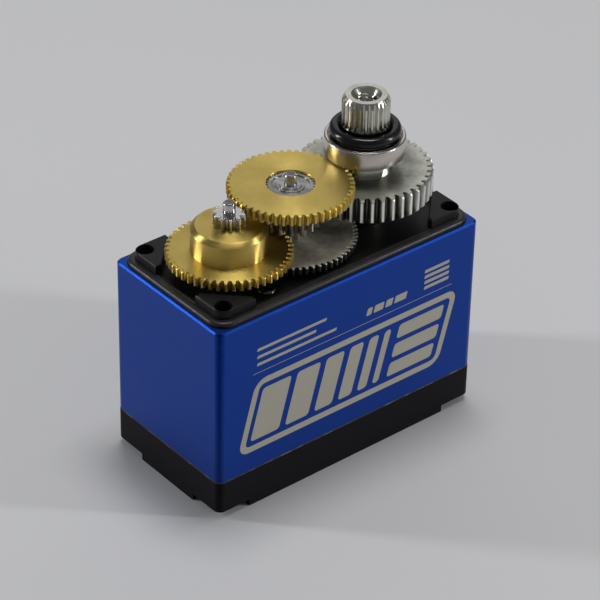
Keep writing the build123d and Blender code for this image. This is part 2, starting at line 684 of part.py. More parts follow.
def output_gear():
    """The steel output wheel and its shaft, in one piece from the lower journal to the splines."""
    wheel_bottom = OUTPUT_WHEEL_Z[0]
    lower_top = LOWER_BEARING_BOTTOM + LOWER_BEARING_WIDTH
    shaft = [
        (0, LOWER_BEARING_BOTTOM),
        (SHAFT_RADIUS, LOWER_BEARING_BOTTOM),
        (SHAFT_RADIUS, lower_top),
        (NECK_RADIUS, lower_top + NECK_TAPER),
        (NECK_RADIUS, wheel_bottom),
        (COLLAR_RADIUS, wheel_bottom),
        (COLLAR_RADIUS, UPPER_BEARING_BOTTOM),
        (SHAFT_RADIUS, UPPER_BEARING_BOTTOM),
        (SHAFT_RADIUS, SPLINE_BOTTOM - SHOULDER),
        (SPLINE_ROOT, SPLINE_BOTTOM),
        (SPLINE_ROOT, SPLINE_BOTTOM + 0.2),
        (0, SPLINE_BOTTOM + 0.2),
    ]
    body = toothed(OUTPUT_WHEEL, OUTPUT_TOOTH, OUTPUT_WHEEL_Z, 0, OUTPUT_TIP_CHAMFER)
    body += [turned(shaft), spline_blank()]
    sink_bottom = SHAFT_TOP - SINK_DEPTH
    sink = [(0, sink_bottom), (HORN_SCREW_RADIUS, sink_bottom), (SINK_RADIUS, SHAFT_TOP), (0, SHAFT_TOP)]
    body -= turned(sink)
    body -= disc(HORN_SCREW_RADIUS, SHAFT_TOP - HORN_SCREW_DEPTH, sink_bottom + 0.1)
    socket = disc(POT_SHAFT + 0.05, LOWER_BEARING_BOTTOM - 1, LOWER_BEARING_BOTTOM + KEY_LENGTH + 0.2)
    socket -= block((-3, 3), (KEY_FLAT + 0.05, 3), (LOWER_BEARING_BOTTOM, SHELL_TOP))
    return Pos(OUTPUT_X, 0, 0) * (body - socket)


# ------------------------------------------------------------------ ball bearings
RING_CHAMFER = 0.12
CAGE_RADII = (4.16, 3.84)
CAGE_HALF_HEIGHT = 0.75
O_RING_SECTION = 0.7
O_RING_GAP = 0.02


def race_groove(middle):
    return Pos(0, 0, middle) * Torus(BALL_CIRCLE, RACE_GROOVE)


def bearing_ring(outer, inner, bottom, width):
    """One ring of a ball bearing, with the groove that its balls run in."""
    body = turned_disc(outer, bottom, bottom + width, RING_CHAMFER) - disc(inner, bottom - 1, bottom + width + 1)
    return Pos(OUTPUT_X, 0, 0) * (body - race_groove(bottom + width / 2))


def bearing_balls(middle):
    balls = Part()
    for _, (x, y) in around(BALL_COUNT, BALL_CIRCLE):
        balls += Pos(OUTPUT_X + x, y, middle) * Sphere(BALL_RADIUS)
    return balls


def bearing_cage(middle):
    """A ring with a round radial pocket for each ball."""
    body = tube(*CAGE_RADII, middle - CAGE_HALF_HEIGHT, middle + CAGE_HALF_HEIGHT)
    for angle, (x, y) in around(BALL_COUNT, BALL_CIRCLE):
        body -= Pos(x, y, middle) * Rot(0, 90, angle) * Cylinder(RACE_GROOVE, 1.0)
    return Pos(OUTPUT_X, 0, 0) * body


def build_bearing(name, bottom, width):
    middle = bottom + width / 2
    keep(f"{name}_bearing_outer_ring", bearing_ring(BEARING_OUTER, OUTER_RACE, bottom, width))
    keep(f"{name}_bearing_inner_ring", bearing_ring(INNER_RACE, BEARING_BORE, bottom, width))
    keep(f"{name}_bearing_balls", bearing_balls(middle))
    keep(f"{name}_bearing_cage", bearing_cage(middle))


def build_shields():
    """Two thin shields of the upper bearing, each seated in a step in the face of the outer ring."""
    bottom, top = UPPER_BEARING_BOTTOM, UPPER_BEARING_BOTTOM + UPPER_BEARING_WIDTH
    steps = disc(SHIELD_SEAT, bottom - 1, bottom + SHIELD_DEPTH, OUTPUT_X)
    steps += disc(SHIELD_SEAT, top - SHIELD_DEPTH, top + 1, OUTPUT_X)
    keep("upper_bearing_outer_ring", PARTS["upper_bearing_outer_ring"] - steps)
    inner, outer = INNER_RACE + 0.08, SHIELD_SEAT - 0.02
    profile = [
        (inner, 0),
        (outer, 0),
        (outer, SHIELD_LIP - 0.06),
        (outer - 0.06, SHIELD_LIP),
        (outer - 0.14, SHIELD_LIP),
        (outer - 0.24, SHIELD_THICKNESS),
        (inner, SHIELD_THICKNESS),
    ]
    shield = turned(profile, OUTPUT_X)
    upper = Pos(0, 0, top - SHIELD_DEPTH) * shield
    lower = Pos(0, 0, bottom + SHIELD_DEPTH) * mirror(shield, Plane.XY)
    keep("upper_bearing_shields", upper + lower)


def build_output():
    keep("output_gear", output_gear())
    build_bearing("upper", UPPER_BEARING_BOTTOM, UPPER_BEARING_WIDTH)
    build_bearing("lower", LOWER_BEARING_BOTTOM, LOWER_BEARING_WIDTH)
    build_shields()
    top = UPPER_BEARING_BOTTOM + UPPER_BEARING_WIDTH
    ring = Torus(SHAFT_RADIUS + O_RING_SECTION + O_RING_GAP, O_RING_SECTION)
    keep("shaft_o_ring", Pos(OUTPUT_X, 0, top + O_RING_SECTION + O_RING_GAP) * ring)


# ------------------------------------------------------------------ potentiometer
TRACK_Z = (19.0, 19.6)
POT_WALL = 0.7
POT_LID = 0.8
LEAD_SPACING = 2.5
LEAD_Y = -4.0
LEAD_RADIUS = 0.3
LEAD_END = 2.7
SHAFT_END = TRACK_Z[1] + 0.3
WIPER_HUB = (2.3, 0.4, 1.2)  # radius, bottom and top above the shaft's lower end
WIPER_ARM = (1.9, 4.6, 0.9)  # start, end and half width
WIPER_ARM_Z = (0.7, 1.0)
FINGERS = (3.0, 4.1)  # where the two fingers start along the arm
FINGER_WIDTH = 0.5
FINGER_HALF_LENGTH = 0.7


def pot_leads():
    """Three tinned leads from the potentiometer down through the board."""
    leads = Part()
    for step in (-1, 0, 1):
        leads += disc(LEAD_RADIUS, LEAD_END, TRACK_Z[0], OUTPUT_X + step * LEAD_SPACING, LEAD_Y)
    return leads


def pot_housing():
    bottom, top = POT_Z
    body = disc(POT_RADIUS, bottom, top, OUTPUT_X)
    body -= disc(POT_RADIUS - POT_WALL, TRACK_Z[0], top - POT_LID, OUTPUT_X)
    body -= disc(POT_SHAFT + RUNNING_GAP, TRACK_Z[0], top + 1, OUTPUT_X)
    return body - pot_leads()


def pot_shaft():
    """The shaft with a flat that keys it into the underside of the output shaft."""
    body = disc(POT_SHAFT, SHAFT_END, LOWER_BEARING_BOTTOM + KEY_LENGTH)
    body -= block((-3, 3), (KEY_FLAT, 3), (LOWER_BEARING_BOTTOM - 0.05, SHELL_TOP))
    return Pos(OUTPUT_X, 0, 0) * body


def pot_wiper():
    """The arm on the shaft, with two fingers that sweep the track."""
    hub_radius, hub_low, hub_high = WIPER_HUB
    hub = tube(hub_radius, POT_SHAFT, SHAFT_END + hub_low, SHAFT_END + hub_high)
    start, end, half_width = WIPER_ARM
    arm_z = [SHAFT_END + height for height in WIPER_ARM_Z]
    arm = block((start, end), (-half_width, half_width), arm_z)
    finger_z = (TRACK_Z[1] + 0.05, arm_z[0] + 0.1)
    finger_y = (-FINGER_HALF_LENGTH, FINGER_HALF_LENGTH)
    fingers = [block((x, x + FINGER_WIDTH), finger_y, finger_z) for x in FINGERS]
    return Pos(OUTPUT_X, 0, 0) * (hub + arm + fingers)


def build_potentiometer():
    keep("potentiometer_housing", pot_housing())
    track = tube(POT_RADIUS - POT_WALL, 1.0, *TRACK_Z, OUTPUT_X)
    keep("potentiometer_track", track)
    keep("potentiometer_leads", pot_leads())
    keep("potentiometer_shaft", pot_shaft())
    keep("potentiometer_wiper", pot_wiper())


# ------------------------------------------------------------------ control board
BOARD_X = (-18.6, 18.0)
BOARD_HALF_WIDTH = 8.8
BOARD_GAP = 0.2  # around the screw corners


def control_board():
    """The circuit board across the base, notched around the screw corners."""
    body = block(BOARD_X, (-BOARD_HALF_WIDTH, BOARD_HALF_WIDTH), BOARD_Z)
    for x, y in corners(1, 1):
        x_range = sorted((x * (BLOCK_X - BOARD_GAP), x * CASE_LENGTH / 2))
        y_range = sorted((y * (BLOCK_Y - BOARD_GAP), y * CASE_WIDTH / 2))
        body -= block(x_range, y_range, (0, BOARD_Z[1] + 1))
    return body - pot_leads() - motor_terminals()


def chip(x, y, length, width, height, bottom):
    return block((x - length / 2, x + length / 2), (y - width / 2, y + width / 2), (bottom, bottom + height))


def power_transistors():
    """Four bridge transistors in a row under the motor's end of the board."""
    row = Part()
    for x in (-16.2, -6.6, -3.2, 0.2):
        row += chip(x, 0.0, 2.6, 4.6, 1.2, BOARD_Z[0] - 1.2)
    return row


def ceramic_capacitors():
    group = Part()
    for x in (-2.5, 0.0, 2.5, 5.0):
        group += chip(x, 6.4, 0.9, 1.7, 0.8, BOARD_Z[1])
    return group


def build_electronics():
    top = BOARD_Z[1]
    keep("control_board", control_board())
    keep("microcontroller", chip(2.6, -1.0, 5.0, 5.0, 0.9, top))
    keep("crystal", chip(2.6, -6.2, 4.4, 1.8, 0.9, top))
    keep("power_transistors", power_transistors())
    keep("ceramic_capacitors", ceramic_capacitors())
    keep("bulk_capacitor", turned_disc(2.5, top, top + 6.5, 0.3, 13.4, 3.2))


# ------------------------------------------------------------------ the whole servo
def main():
    build_case()
    build_motor()
    build_first_gear()
    build_second_gear()
    build_third_gear()
    build_output()
    build_potentiometer()
    build_electronics()
    os.makedirs("parts", exist_ok=True)
    for name, shape in PARTS.items():
        export_step(shape, f"parts/{name}.step")
        print(f"{name}: {shape.volume:.2f} mm3, {len(shape.solids())} solid(s)")


main()
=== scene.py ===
"""The looks of a metal-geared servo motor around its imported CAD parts.

Lengths are in metres in the part's own frame: +Z up, X along the case, and the printed side faces -Y.
Positions that a comment or a name gives in millimetres are multiplied by MM where they are used.
"""

import json
import math

import bmesh
import bpy
from mathutils import Matrix, Vector


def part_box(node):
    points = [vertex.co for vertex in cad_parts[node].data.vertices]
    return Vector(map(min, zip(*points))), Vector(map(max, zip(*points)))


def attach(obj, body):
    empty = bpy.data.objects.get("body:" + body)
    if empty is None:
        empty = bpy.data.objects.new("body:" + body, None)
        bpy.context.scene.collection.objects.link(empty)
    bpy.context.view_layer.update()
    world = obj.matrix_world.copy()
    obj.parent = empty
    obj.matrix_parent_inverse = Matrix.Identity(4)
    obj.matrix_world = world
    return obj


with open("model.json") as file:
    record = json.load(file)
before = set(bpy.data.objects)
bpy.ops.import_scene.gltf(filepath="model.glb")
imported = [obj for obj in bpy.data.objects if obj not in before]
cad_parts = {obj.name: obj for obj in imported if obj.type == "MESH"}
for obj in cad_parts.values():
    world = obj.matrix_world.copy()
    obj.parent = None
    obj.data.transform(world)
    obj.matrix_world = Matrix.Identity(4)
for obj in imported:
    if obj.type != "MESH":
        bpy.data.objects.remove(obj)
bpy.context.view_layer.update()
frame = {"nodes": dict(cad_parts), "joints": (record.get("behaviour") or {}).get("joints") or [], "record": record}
NODES = frame["nodes"]
MM = 0.001

# ------------------------------------------------------------------ places, from the frame
JOINT_AT = {joint["child"]: Vector(joint["pos_m"]) for joint in frame["joints"]}
MOTOR_AXIS = JOINT_AT["rotor"]
MIDDLE_AXIS = JOINT_AT["third_gear"]
OUTPUT_AXIS = JOINT_AT["output"]
SHELL_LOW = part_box("middle_case")[0]
SHAFT_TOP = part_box("output_gear")[1].z

# ------------------------------------------------------------------ the camera
CAMERA_TARGET = Vector((-0.73, -1.30, 19.20)) * MM
CAMERA_DISTANCE = 348.2 * MM
CAMERA_AZIMUTH = math.radians(-40.07)
CAMERA_ELEVATION = math.radians(34.33)
CAMERA_ROLL = math.radians(1.22)
CAMERA_LENS = 170.5


def link(thing):
    bpy.context.scene.collection.objects.link(thing)
    return thing


def build_camera():
    a, e = CAMERA_AZIMUTH, CAMERA_ELEVATION
    back = Vector((math.sin(a) * math.cos(e), -math.cos(a) * math.cos(e), math.sin(e)))
    camera = link(bpy.data.objects.new("camera", bpy.data.cameras.new("camera")))
    camera.data.lens = CAMERA_LENS
    camera.data.sensor_width = 36.0
    camera.data.clip_start = 0.01
    camera.data.clip_end = 20.0
    turn = back.to_track_quat("Z", "Y").to_matrix() @ Matrix.Rotation(CAMERA_ROLL, 3, "Z")
    camera.matrix_world = Matrix.Translation(CAMERA_TARGET + back * CAMERA_DISTANCE) @ turn.to_4x4()
    bpy.context.scene.camera = camera


# ------------------------------------------------------------------ node trees in short
class Tree:
    """A material's node tree, with one short call for each kind of node."""

    def __init__(self, name):
        self.material = bpy.data.materials.new(name)
        self.material.use_nodes = True
        self.nodes = self.material.node_tree.nodes
        self.links = self.material.node_tree.links
        self.shader = self.nodes["Principled BSDF"]

    def add(self, kind, inputs=(), **settings):
        node = self.nodes.new("ShaderNode" + kind)
        for key, value in settings.items():
            setattr(node, key, value)
        for key, value in dict(inputs).items():
            self.put(node.inputs[key], value)
        return node

    def put(self, socket, value):
        if isinstance(value, bpy.types.NodeSocket):
            self.links.new(value, socket)
        else:
            socket.default_value = value

    def set(self, **values):
        for key, value in values.items():
            self.put(self.shader.inputs[key.replace("_", " ")], value)

    def place(self):
        return self.add("TexCoord").outputs["Object"]

    def noise(self, scale, detail=2.0, roughness=0.5):
        """Random detail with about scale features per millimetre."""
        size = [scale / MM] * 3
        moved = self.add("VectorMath", {0: self.place(), 1: size}, operation="MULTIPLY").outputs[0]
        inputs = {"Vector": moved, "Scale": 1.0, "Detail": detail, "Roughness": roughness}
        return self.add("TexNoise", inputs).outputs["Fac"]

    def math(self, operation, first, second):
        return self.add("Math", {0: first, 1: second}, operation=operation).outputs[0]

    def span(self, value, low, high, start=0.0, end=1.0):
        """value from low to high becomes start to end, and stays within them."""
        inputs = {"Value": value, "From Min": low, "From Max": high, "To Min": start, "To Max": end}
        return self.add("MapRange", inputs).outputs["Result"]

    def mix(self, factor, first, second):
        node = self.add("Mix", data_type="RGBA")
        self.put(node.inputs[0], factor)
        self.put(node.inputs[6], first if isinstance(first, bpy.types.NodeSocket) else (*first, 1))
        self.put(node.inputs[7], second if isinstance(second, bpy.types.NodeSocket) else (*second, 1))
        return node.outputs[2]

    def polar(self, axis):
        """Distance from a vertical axis and height, both in millimetres."""
        moved = self.add("VectorMath", {0: self.place(), 1: axis}, operation="SUBTRACT").outputs[0]
        parts = self.add("SeparateXYZ", {0: moved}).outputs
        flat = self.add("CombineXYZ", {0: parts[0], 1: parts[1]}).outputs[0]
        length = self.add("VectorMath", {0: flat}, operation="LENGTH").outputs["Value"]
        height = self.add("SeparateXYZ", {0: self.place()}).outputs[2]
        return self.math("MULTIPLY", length, 1 / MM), self.math("MULTIPLY", height, 1 / MM)

    def rings(self, axis, scale=12.0):
        """Lathe marks: fine random rings round a vertical axis, on faces and walls alike."""
        radius, height = self.polar(axis)
        line = self.add("CombineXYZ", {0: radius, 1: height}).outputs[0]
        inputs = {"Vector": line, "Scale": scale, "Detail": 3.0, "Roughness": 0.7}
        return self.add("TexNoise", inputs).outputs["Fac"]

    def corner_distance(self, low):
        """Distance across the flats from the vertical edge at the low corner of a box, in millimetres."""
        parts = self.add("SeparateXYZ", {0: self.place()}).outputs
        gaps = [self.math("SUBTRACT", parts[axis], low[axis]) for axis in (0, 1)]
        return self.math("MULTIPLY", self.math("MAXIMUM", *gaps), 1 / MM)

    def bump(self, height, depth, normal=None):
        """depth is the height of the bump in millimetres where the value is 1."""
        inputs = {"Height": height, "Distance": depth * MM, "Strength": 1.0}
        if normal is not None:
            inputs["Normal"] = normal
        return self.add("Bump", inputs).outputs["Normal"]

    def turned(self, anisotropy):
        """Stretches highlights across the lathe marks, as on a turned face."""
        tangent = self.add("Tangent", direction_type="RADIAL", axis="Z").outputs[0]
        self.set(Anisotropic=anisotropy, Anisotropic_Rotation=0.25, Tangent=tangent)


def plain(name, color, metallic=0.0, roughness=0.5, grain=8.0, depth=0.002, spread=0.06):
    """A surface with a fine grain in its colour, gloss and height."""
    tree = Tree(name)
    broad = tree.noise(grain / 12, 3.0)
    dark = [part * (1 - spread * 2) for part in color]
    light = [min(1.0, part * (1 + spread * 2)) for part in color]
    tree.set(
        Base_Color=tree.mix(broad, dark, light),
        Roughness=tree.span(broad, 0.3, 0.7, roughness - spread, roughness + spread),
        Metallic=metallic,
        Normal=tree.bump(tree.noise(grain, 4.0, 0.6), depth),
    )
    return tree.material


def blue_anodised():
    """Bead-blasted and dyed: a fine even grain with a soft satin gloss."""
    tree = Tree("anodised_blue_satin")
    broad = tree.noise(0.25, 2.0)
    speck = tree.span(tree.noise(7.0, 1.0), 0.62, 0.75)
    color = tree.mix(broad, (0.011, 0.054, 0.325), (0.013, 0.060, 0.355))
    # painted shade: the rounded vertical corners darken towards near black blue, standing in for the dark
    # surroundings they reflect
    edge = tree.corner_distance(SHELL_LOW)
    color = tree.mix(tree.span(edge, 0.85, 0.35), color, (0.002, 0.018, 0.150))
    tree.set(
        Base_Color=tree.mix(speck, color, (0.015, 0.068, 0.38)),
        Metallic=1.0,
        Roughness=tree.span(broad, 0.3, 0.7, 0.36, 0.41),
        Normal=tree.bump(tree.noise(9.0, 3.0, 0.65), 0.004),
    )
    return tree.material


def moulded_black():
    """Spark-eroded texture, as on a matte moulded housing."""
    tree = Tree("moulded_black_matte")
    grain = tree.noise(6.0, 3.0, 0.6)
    black = tree.mix(grain, (0.005, 0.005, 0.006), (0.011, 0.010, 0.012))
    # painted shade: the rounded vertical corners darken to near black, standing in for the dark surroundings they
    # reflect
    edge = tree.corner_distance(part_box("bottom_cover")[0])
    tree.set(
        Base_Color=tree.mix(tree.span(edge, 0.85, 0.35), black, (0.001, 0.001, 0.002)),
        Roughness=tree.span(grain, 0.3, 0.7, 0.50, 0.66),
        Specular_IOR_Level=0.10,
        Normal=tree.bump(grain, 0.012),
    )
    return tree.material


def tray_black():
    """Glossier moulded plastic with a little grease and dust on it."""
    tree = Tree("moulded_black_gloss")
    smear = tree.noise(0.5, 4.0, 0.6)
    dust = tree.span(tree.noise(3.5, 2.0), 0.70, 0.78)
    black = tree.mix(smear, (0.006, 0.006, 0.006), (0.011, 0.010, 0.010))
    tree.set(
        Base_Color=tree.mix(dust, black, (0.030, 0.028, 0.025)),
        Roughness=tree.span(smear, 0.35, 0.65, 0.30, 0.42),
        Specular_IOR_Level=0.16,
        Normal=tree.bump(tree.noise(2.5, 3.0), 0.003),
    )
    return tree.material


def rubber(name, color, roughness):
    tree = Tree(name)
    smear = tree.noise(0.8, 3.0)
    tree.set(
        Base_Color=tree.mix(smear, color, [1.5 * part for part in color]),
        Roughness=tree.span(smear, 0.3, 0.7, roughness - 0.05, roughness + 0.1),
        Specular_IOR_Level=0.35,
        Normal=tree.bump(tree.noise(4.0, 3.0), 0.003),
    )
    return tree.material


def gasket_sheet():
    """The edge of a thin fibre gasket: dark, with paler frayed stretches."""
    tree = Tree("gasket_fibre")
    frayed = tree.span(tree.noise(0.45, 5.0, 0.7), 0.50, 0.62)
    tree.set(Base_Color=tree.mix(frayed, (0.045, 0.036, 0.030), (0.17, 0.15, 0.12)), Roughness=0.8)
    return tree.material


def turned_brass(name, axis, anisotropy=0.85):
    """Lathe-turned brass with fine rings and a few darker handled patches."""
    tree = Tree(name)
    rings = tree.rings(axis)
    broad = tree.span(tree.noise(0.35, 4.0, 0.6), 0.35, 0.65)
    tree.set(
        Base_Color=tree.mix(broad, (0.57, 0.425, 0.112), (0.66, 0.500, 0.145)),
        Metallic=1.0,
        Roughness=tree.math("ADD", tree.span(rings, 0.3, 0.7, 0.31, 0.39), tree.math("MULTIPLY", broad, 0.05)),
        Normal=tree.bump(tree.noise(7.0, 3.0), 0.0010, tree.bump(rings, 0.0012)),
    )
    tree.turned(anisotropy)
    return tree.material


def turned_steel(name, axis, dark, light, roughness, anisotropy, smudge=0.5, metallic=1.0, painted_shade_below=None):
    """Turned or ground steel. smudge is how much the dark colour shows in patches.

    Walls lower than the height given last, in millimetres, are painted near black as shade.
    """
    tree = Tree(name)
    rings = tree.rings(axis)
    broad = tree.span(tree.noise(0.55, 5.0, 0.65), 0.5 - smudge / 3, 0.75)
    ring_gloss = tree.span(rings, 0.3, 0.7, roughness - 0.04, roughness + 0.04)
    color = tree.mix(broad, light, dark)
    if painted_shade_below is not None:
        height = tree.polar(axis)[1]
        # painted shade: these walls go near black
        color = tree.mix(tree.span(height, painted_shade_below, painted_shade_below - 0.12), color, (0.07, 0.07, 0.065))
    tree.set(
        Base_Color=color,
        Metallic=metallic,
        Roughness=tree.math("ADD", ring_gloss, tree.math("MULTIPLY", broad, 0.15)),
        Normal=tree.bump(tree.noise(4.0, 4.0, 0.6), 0.003, tree.bump(rings, 0.0015)),
    )
    tree.turned(anisotropy)
    return tree.material


def output_steel():
    """The output gear: a mottled sintered wheel, a bright turned shaft and splines with a dark run-out."""
    tree = Tree("output_gear_steel")
    radius, height = tree.polar(OUTPUT_AXIS)
    # in millimetres: heights above the floor, and pairs of radii that a change runs between
    wheel_top, shaft_bottom = 33.9, 38.0
    collar_radius = 3.6
    tooth_valley = 7.75, 8.30
    tooth_crest = 8.35, 8.50
    hub_shade_radii = 5.8, 7.6
    runout_low, runout_high = 39.6, 41.0
    under_top = tree.math("LESS_THAN", height, wheel_top + 0.2)
    on_wheel = tree.math("MULTIPLY", under_top, tree.math("GREATER_THAN", radius, collar_radius))
    mottle = tree.span(tree.noise(0.45, 6.0, 0.7), 0.38, 0.66)
    pits = tree.noise(4.5, 4.0, 0.6)
    flank = tree.mix(mottle, (0.50, 0.50, 0.46), (0.36, 0.36, 0.33))
    # painted shade: the tooth flanks turn near black down into the valleys
    flank = tree.mix(tree.span(radius, *tooth_valley), (0.09, 0.09, 0.08), flank)
    # painted highlight: the tooth crests are coloured near white
    wheel = tree.mix(tree.span(radius, *tooth_crest), flank, (0.88, 0.88, 0.82))
    # painted shade: the wheel's top face is darker near the hub and lighter out towards the rim
    hub_side = tree.mix(mottle, (0.34, 0.34, 0.305), (0.19, 0.19, 0.17))
    rim_side = tree.mix(mottle, (0.60, 0.60, 0.54), (0.42, 0.42, 0.375))
    top = tree.mix(tree.span(radius, *hub_shade_radii), hub_side, rim_side)
    shaft = tree.mix(mottle, (0.66, 0.645, 0.58), (0.54, 0.53, 0.47))
    face = tree.math("MULTIPLY", on_wheel, tree.math("GREATER_THAN", height, wheel_top - 0.02))
    color = tree.mix(face, tree.mix(on_wheel, shaft, wheel), top)
    runout = tree.span(height, runout_high, runout_low)
    runout = tree.math("MULTIPLY", runout, tree.math("GREATER_THAN", height, shaft_bottom))
    speckle = tree.span(tree.math("ADD", runout, tree.noise(2.6, 3.0, 0.6)), 0.95, 1.25)
    tree.set(
        Base_Color=tree.mix(speckle, color, (0.028, 0.027, 0.024)),
        Metallic=1.0,
        Roughness=tree.math("ADD", tree.span(on_wheel, 0, 1, 0.20, 0.30), tree.math("MULTIPLY", mottle, 0.10)),
        Normal=tree.bump(pits, 0.006),
    )
    tree.turned(0.3)
    return tree.material


def polished(name, color, roughness):
    tree = Tree(name)
    smear = tree.noise(0.7, 4.0, 0.6)
    tree.set(
        Base_Color=tree.mix(smear, color, [0.85 * part for part in color]),
        Metallic=1.0,
        Roughness=tree.span(smear, 0.35, 0.7, roughness, roughness + 0.09),
        Normal=tree.bump(tree.noise(3.0, 2.0), 0.0006),
    )
    return tree.material


def pin_steel(name, axis, top):
    """A hardened pin whose flat end, inside a bright rim, is coloured dark."""
    tree = Tree(name)
    radius, height = tree.polar(axis)
    rim_inside = 0.56  # radius, in millimetres
    on_end = tree.math("GREATER_THAN", height, top / MM - 0.05)
    end = tree.math("MULTIPLY", on_end, tree.math("LESS_THAN", radius, rim_inside))
    rings = tree.rings(axis, 8.0)
    tree.set(
        Base_Color=tree.mix(end, (0.58, 0.57, 0.55), (0.16, 0.14, 0.13)),
        Metallic=1.0,
        Roughness=tree.span(rings, 0.3, 0.7, 0.16, 0.26),
        Normal=tree.bump(rings, 0.001),
    )
    return tree.material


def print_ink():
    """Pale laser-marked or printed areas on the anodised side."""
    tree = Tree("print_pale")
    grain = tree.noise(5.0, 3.0, 0.7)
    tree.set(
        Base_Color=tree.mix(grain, (0.39, 0.37, 0.30), (0.47, 0.45, 0.37)),
        Roughness=0.6,
        Normal=tree.bump(grain, 0.003),
    )
    return tree.material


def make_materials():
    """One material for each node that has its own, and one for each slot."""
    # dark colour, light colour, roughness, anisotropy, smudge and metallic
    wheel_finish = (0.30, 0.285, 0.24), (0.84, 0.81, 0.69), 0.34, 0.80, 0.7, 0.70
    pinion_finish = (0.16, 0.155, 0.15), (0.50, 0.49, 0.47), 0.24, 0.9
    # height, in millimetres, below which the first wheel's walls get painted shade
    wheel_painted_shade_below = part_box("first_gear_wheel")[1].z / MM - 0.06
    wheel_steel = turned_steel("dark_turned_steel", MIDDLE_AXIS, *wheel_finish)
    by_node = {
        "second_gear_wheel": turned_brass("second_gear_brass", MOTOR_AXIS),
        "third_gear_wheel": turned_brass("third_gear_brass", MIDDLE_AXIS, 0.6),
        "motor_pinion": turned_brass("motor_pinion_brass", MOTOR_AXIS),
        "first_gear_wheel": turned_steel("first_wheel_steel", MIDDLE_AXIS, *wheel_finish, wheel_painted_shade_below),
        "first_gear_pinion": wheel_steel,
        "second_gear_pinion": polished("second_pinion_steel", (0.62, 0.60, 0.59), 0.12),
        "third_gear_pinion": turned_steel("third_pinion_steel", MIDDLE_AXIS, *pinion_finish),
        "output_gear": output_steel(),
        "middle_pin": pin_steel("middle_pin_steel", MIDDLE_AXIS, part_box("middle_pin")[1].z),
        "side_pin": pin_steel("side_pin_steel", MOTOR_AXIS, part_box("side_pin")[1].z),
        "motor_screws": plain("screw_black_zinc", (0.10, 0.10, 0.10), 1.0, 0.25, 4.0, 0.001),
        "upper_bearing_shields": polished("shield_steel", (0.50, 0.49, 0.47), 0.2),
    }
    by_slot = {
        "blue_anodised": blue_anodised(),
        "moulded_black": moulded_black(),
        "tray_black": tray_black(),
        "seal_rubber": rubber("seal_rubber_satin", (0.014, 0.013, 0.012), 0.34),
        "o_ring_rubber": rubber("o_ring_rubber_gloss", (0.006, 0.006, 0.007), 0.16),
        "gasket_fibre": gasket_sheet(),
        "dark_steel": wheel_steel,
        "machined_steel": plain("machined_steel_satin", (0.55, 0.54, 0.52), 1.0, 0.3, 3.0, 0.003),
        "bearing_steel": polished("bearing_steel_ground", (0.62, 0.575, 0.53), 0.19),
        "can_steel": plain("nickel_plated", (0.55, 0.55, 0.55), 1.0, 0.3),
        "bronze": plain("sintered_bronze", (0.5, 0.33, 0.18), 1.0, 0.4),
        "copper": plain("enamelled_copper", (0.60, 0.25, 0.10), 1.0, 0.3, 5.0, 0.01),
        "tinned": plain("tinned_metal", (0.6, 0.6, 0.58), 1.0, 0.3),
        "laminations": plain("laminated_steel", (0.25, 0.25, 0.26), 1.0, 0.45),
    }
    return by_node, by_slot


def dress_nodes():
    """Gives every CAD node its material and a narrow rounded edge."""
    by_node, by_slot = make_materials()
    slots = {part["node"]: part["material_slot"] for part in frame["record"]["subparts"]}
    colors = {part["slot"]: part["base_color"] for part in frame["record"]["materials"]}
    for name, node in NODES.items():
        slot = slots[name]
        if name not in by_node and slot not in by_slot:
            by_slot[slot] = plain(slot + "_fine", colors[slot])
        node.data.materials.clear()
        node.data.materials.append(by_node.get(name) or by_slot[slot])
        round_edges(node, 0.02)


def round_edges(piece, width):
    """Small rounded edges, in millimetres, which catch the light as real edges do."""
    piece.modifiers.new("weld", "WELD").merge_threshold = 0.001 * MM
    bevel = piece.modifiers.new("bevel", "BEVEL")
    bevel.width = width * MM
    bevel.segments = 2
    bevel.limit_method = "ANGLE"
    bevel.angle_limit = math.radians(28)
    bevel.harden_normals = True


# ------------------------------------------------------------------ added pieces
def piece_from(name, points, faces, material, body, smooth=False):
    mesh = bpy.data.meshes.new(name)
    mesh.from_pydata([Vector(point) * MM for point in points], [], faces)
    clean = bmesh.new()
    clean.from_mesh(mesh)
    bmesh.ops.recalc_face_normals(clean, faces=clean.faces)
    clean.to_mesh(mesh)
    clean.free()
    for face in mesh.polygons:
        face.use_smooth = smooth
    mesh.materials.append(material)
    piece = link(bpy.data.objects.new(name, mesh))
    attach(piece, body)
    return piece


def add_screw_thread(material):
    """The internal M3 thread for the horn screw: one ridge wound down the bore."""
    pitch, top, turns, steps = 0.5, SHAFT_TOP / MM - 0.75, 9.0, 48
    wall, crest, half_foot, half_crest = 1.26, 1.10, 0.23, 0.04
    section = [(wall, half_foot), (crest, half_crest), (crest, -half_crest), (wall, -half_foot)]
    points, faces = [], []
    count = int(turns * steps)
    for step in range(count + 1):
        angle = 2 * math.pi * step / steps
        drop = pitch * step / steps + half_foot
        for radius, rise in section:
            x, y = radius * math.cos(angle), radius * math.sin(angle)
            points.append((OUTPUT_AXIS.x / MM + x, OUTPUT_AXIS.y / MM + y, top - drop + rise))
    for step in range(count):
        for corner in range(4):
            after = (corner + 1) % 4
            here, there = 4 * step, 4 * step + 4
            faces.append((here + corner, here + after, there + after, there + corner))
    faces += [(0, 1, 2, 3), tuple(4 * count + corner for corner in range(4))]
    thread = piece_from("horn_screw_thread", points, faces, material, "output", smooth=True)
    thread.modifiers.new("split", "EDGE_SPLIT").split_angle = math.radians(35)


# ------------------------------------------------------------------ the printed side
PRINT_BACK = 0.02  # how far the print reaches into the shell
PRINT_PROUD = 0.015
SLANT = 0.27  # how far the print leans along X for each millimetre of height


